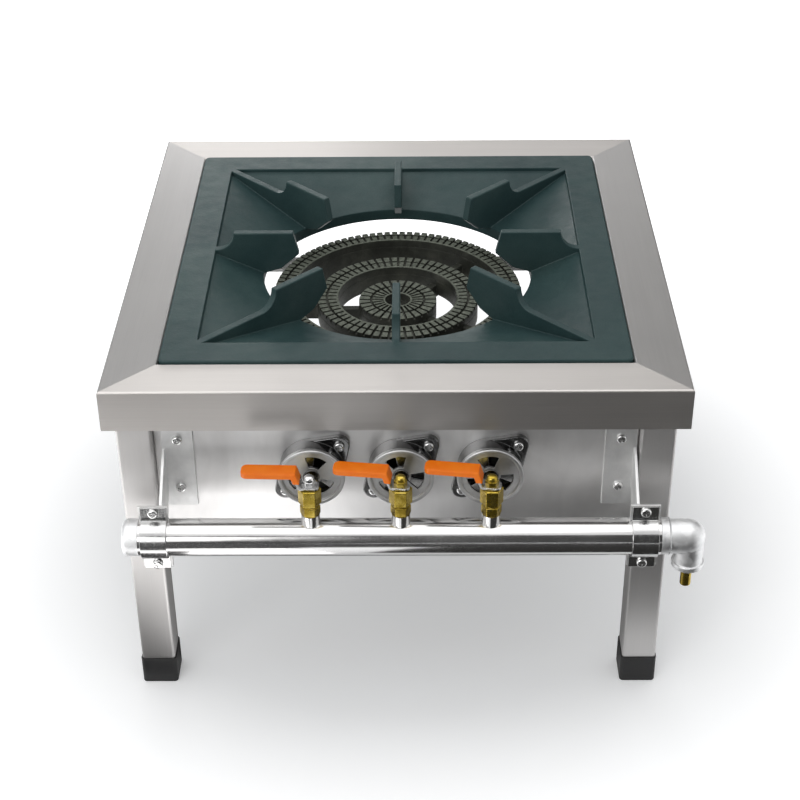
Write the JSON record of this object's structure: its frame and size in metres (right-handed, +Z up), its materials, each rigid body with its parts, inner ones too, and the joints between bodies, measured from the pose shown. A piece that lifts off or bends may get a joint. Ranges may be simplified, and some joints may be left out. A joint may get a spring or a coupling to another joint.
{
  "type": "single burner gas stove",
  "caption": "Low stainless gas stove: square cast-iron pot grate over a ring burner, fed from a front gas pipe with lever valves and air shutters.",
  "frame": {"origin": "on the floor, under the middle of the square top frame", "axes": "+X to the right as seen from the front, +Y to the back, +Z up"},
  "size_m": [0.5061, 0.538, 0.3423],
  "materials": {
    "stainless": "brushed",
    "panel_steel": "polished",
    "strap_steel": "plain mill finish",
    "bracket_steel": "satin",
    "rubber": "matte",
    "grate_iron": "dark painted casting",
    "burner_iron": "raw casting",
    "cast_aluminium": "cast and polished",
    "shutter_metal": "pressed",
    "brass": "machined",
    "lever_steel": "plated",
    "orange_vinyl": "glossy dipped vinyl",
    "bright_steel": "bright",
    "polished_pipe": "polished",
    "galvanised": "galvanised"
  },
  "bodies": {
    "stove": {"burner_casting": "burner_iron", "centre_port_ring": "burner_iron", "clamp_screws": "bright_steel", "front_burner_strap": "strap_steel", "front_left_foot": "rubber", "front_left_leg": "stainless", "front_panel": "panel_steel", "front_rail": "stainless", "front_right_foot": "rubber", "front_right_leg": "stainless", "hose_nipple": "brass", "left_air_housing": "cast_aluminium", "left_injector": "brass", "left_pipe_bracket": "bracket_steel", "left_pipe_clamp": "bracket_steel", "left_rail": "stainless", "left_valve_body": "brass", "manifold_cap": "galvanised", "manifold_elbow": "galvanised", "manifold_pipe": "polished_pipe", "middle_air_housing": "cast_aluminium", "middle_injector": "brass", "middle_port_ring": "burner_iron", "middle_valve_body": "brass", "outer_port_ring": "burner_iron", "panel_screws": "bright_steel", "rear_burner_strap": "strap_steel", "rear_left_foot": "rubber", "rear_left_leg": "stainless", "rear_rail": "stainless", "rear_right_foot": "rubber", "rear_right_leg": "stainless", "right_air_housing": "cast_aluminium", "right_injector": "brass", "right_pipe_bracket": "bracket_steel", "right_pipe_clamp": "bracket_steel", "right_rail": "stainless", "right_valve_body": "brass"},
    "grate": {"pot_grate": "grate_iron"},
    "left_shutter": {"left_air_shutter": "shutter_metal"},
    "middle_shutter": {"middle_air_shutter": "shutter_metal"},
    "right_shutter": {"right_air_shutter": "shutter_metal"},
    "left_lever": {"left_valve_lever": "lever_steel", "left_lever_grip": "orange_vinyl", "left_lever_nut": "bright_steel", "left_valve_stem": "brass", "left_valve_ball": "brass"},
    "middle_lever": {"middle_valve_lever": "lever_steel", "middle_lever_grip": "orange_vinyl", "middle_lever_nut": "brass", "middle_valve_stem": "brass", "middle_valve_ball": "brass"},
    "right_lever": {"right_valve_lever": "lever_steel", "right_lever_grip": "orange_vinyl", "right_lever_nut": "brass", "right_valve_stem": "brass", "right_valve_ball": "brass"}
  },
  "joints": [
    {"name": "grate_lift", "type": "slide", "parent": "stove", "child": "grate", "axis": [0, 0, 1], "range_m": [0, 0.08]},
    {"name": "left_shutter_turn", "type": "hinge", "parent": "stove", "child": "left_shutter", "pos_m": [-0.0715, -0.2454, 0.2388], "axis": [0, 1, 0], "range_deg": [-36, 24]},
    {"name": "middle_shutter_turn", "type": "hinge", "parent": "stove", "child": "middle_shutter", "pos_m": [0.004, -0.2454, 0.2388], "axis": [0, 1, 0], "range_deg": [-28, 32]},
    {"name": "right_shutter_turn", "type": "hinge", "parent": "stove", "child": "right_shutter", "pos_m": [0.0795, -0.2454, 0.2388], "axis": [0, 1, 0], "range_deg": [-31, 29]},
    {"name": "left_lever_turn", "type": "hinge", "parent": "stove", "child": "left_lever", "pos_m": [-0.0715, -0.275, 0.2388], "axis": [0, 0, 1], "range_deg": [0, 90]},
    {"name": "middle_lever_turn", "type": "hinge", "parent": "stove", "child": "middle_lever", "pos_m": [0.004, -0.275, 0.2388], "axis": [0, 0, 1], "range_deg": [0, 90]},
    {"name": "right_lever_turn", "type": "hinge", "parent": "stove", "child": "right_lever", "pos_m": [0.0795, -0.275, 0.2388], "axis": [0, 0, 1], "range_deg": [0, 90]}
  ]
}
